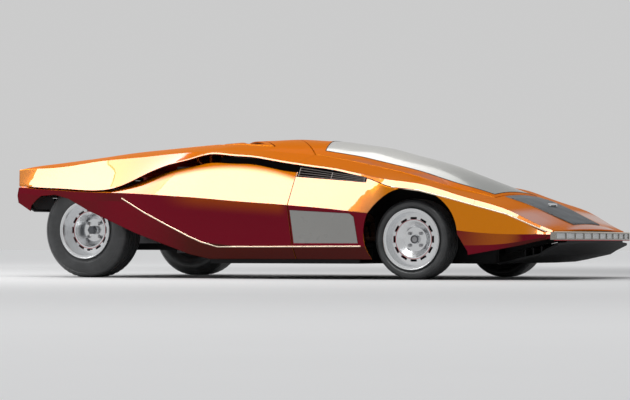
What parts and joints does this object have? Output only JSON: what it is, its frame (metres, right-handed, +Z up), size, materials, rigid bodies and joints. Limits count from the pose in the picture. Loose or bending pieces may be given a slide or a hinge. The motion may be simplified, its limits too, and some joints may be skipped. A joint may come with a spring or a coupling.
{
  "type": "low wedge-shaped mid-engined sports coupe",
  "caption": "Very low wedge-shaped two-seat coupe with a lifting windscreen for a door, slatted engine cover, steered front wheels and a full-width lamp strip.",
  "frame": {"origin": "on the ground under the middle of the car", "axes": "+X to the nose, +Y to the left side, +Z up"},
  "size_m": [3.6, 1.8602, 0.862],
  "materials": {
    "body_paint": "clear-coated copper metallic",
    "windscreen_glass": "silvered tint",
    "pane_glass": "grey tint",
    "mat_rubber": "ribbed",
    "lamp_frame": "satin",
    "lamp_glass": "fluted",
    "tail_glass": "translucent",
    "black_trim": "matte",
    "louvre_metal": "satin",
    "tyre_rubber": "matte",
    "rim_alloy": "polished",
    "forged_steel": "oiled",
    "frame_steel": "black enamel",
    "engine_alloy": "cast",
    "exhaust_steel": "polished",
    "seat_leather": "ribbed brown",
    "trim_plastic": "grained",
    "wheel_rim_leather": "stitched"
  },
  "bodies": {
    "root": {"nose_panel": "body_paint", "cheeks": "body_paint", "rear_deck": "body_paint", "flank_rear_right": "body_paint", "flank_rear_left": "body_paint", "flank_front_right": "body_paint", "flank_front_left": "body_paint", "side_panes": "pane_glass", "slit_louvres": "louvre_metal", "nose_mat": "mat_rubber", "light_strip": "lamp_frame", "headlamps": "lamp_glass", "tail_lamps": "tail_glass", "chin": "black_trim", "tail_grille": "black_trim", "rear_valance": "black_trim", "floor_pan": "frame_steel", "sills": "frame_steel", "cabin_sides": "frame_steel", "bulkheads": "frame_steel", "front_frame": "frame_steel", "rear_frame": "frame_steel", "engine_block": "engine_alloy", "transaxle": "engine_alloy", "exhaust": "exhaust_steel", "front_suspension": "forged_steel", "rear_suspension": "forged_steel", "steering_column": "forged_steel", "seats": "seat_leather", "dashboard": "trim_plastic", "console": "trim_plastic", "steering_wheel": "wheel_rim_leather"},
    "hatch": {"hatch_frame": "body_paint", "windscreen": "windscreen_glass"},
    "cover": {"engine_cover": "body_paint"},
    "knuckle_right": {"knuckle_right": "forged_steel"},
    "knuckle_left": {"knuckle_left": "forged_steel"},
    "wheel_front_right": {"tyre_front_right": "tyre_rubber", "rim_front_right": "rim_alloy"},
    "wheel_front_left": {"tyre_front_left": "tyre_rubber", "rim_front_left": "rim_alloy"},
    "wheel_rear_right": {"tyre_rear_right": "tyre_rubber", "rim_rear_right": "rim_alloy"},
    "wheel_rear_left": {"tyre_rear_left": "tyre_rubber", "rim_rear_left": "rim_alloy"}
  },
  "joints": [
    {"name": "steer_left", "type": "hinge", "parent": "root", "child": "knuckle_left", "pos_m": [0.922, 0.64, 0.235], "axis": [0, 0, 1], "range_deg": [-30, 30]},
    {"name": "steer_right", "type": "hinge", "parent": "root", "child": "knuckle_right", "pos_m": [0.922, -0.64, 0.235], "axis": [0, 0, 1], "range_deg": [-30, 30]},
    {"name": "spin_front_left", "type": "hinge", "parent": "knuckle_left", "child": "wheel_front_left", "pos_m": [0.922, 0.69, 0.235], "axis": [0, 1, 0], "continuous": true},
    {"name": "spin_front_right", "type": "hinge", "parent": "knuckle_right", "child": "wheel_front_right", "pos_m": [0.922, -0.69, 0.235], "axis": [0, 1, 0], "continuous": true},
    {"name": "spin_rear_left", "type": "hinge", "parent": "root", "child": "wheel_rear_left", "pos_m": [-1.298, 0.69, 0.295], "axis": [0, 1, 0], "continuous": true},
    {"name": "spin_rear_right", "type": "hinge", "parent": "root", "child": "wheel_rear_right", "pos_m": [-1.298, -0.69, 0.295], "axis": [0, 1, 0], "continuous": true},
    {"name": "windscreen_hatch", "type": "hinge", "parent": "root", "child": "hatch", "pos_m": [-0.195, 0, 0.857], "axis": [0, -1, 0], "range_deg": [0, 48]},
    {"name": "engine_cover_hinge", "type": "hinge", "parent": "root", "child": "cover", "pos_m": [-0.565, -0.5, 0.776], "axis": [1, 0, 0], "range_deg": [0, 50]}
  ],
  "couplings": [
    {"joint": "steer_right", "follows": "steer_left", "ratio": 1}
  ]
}
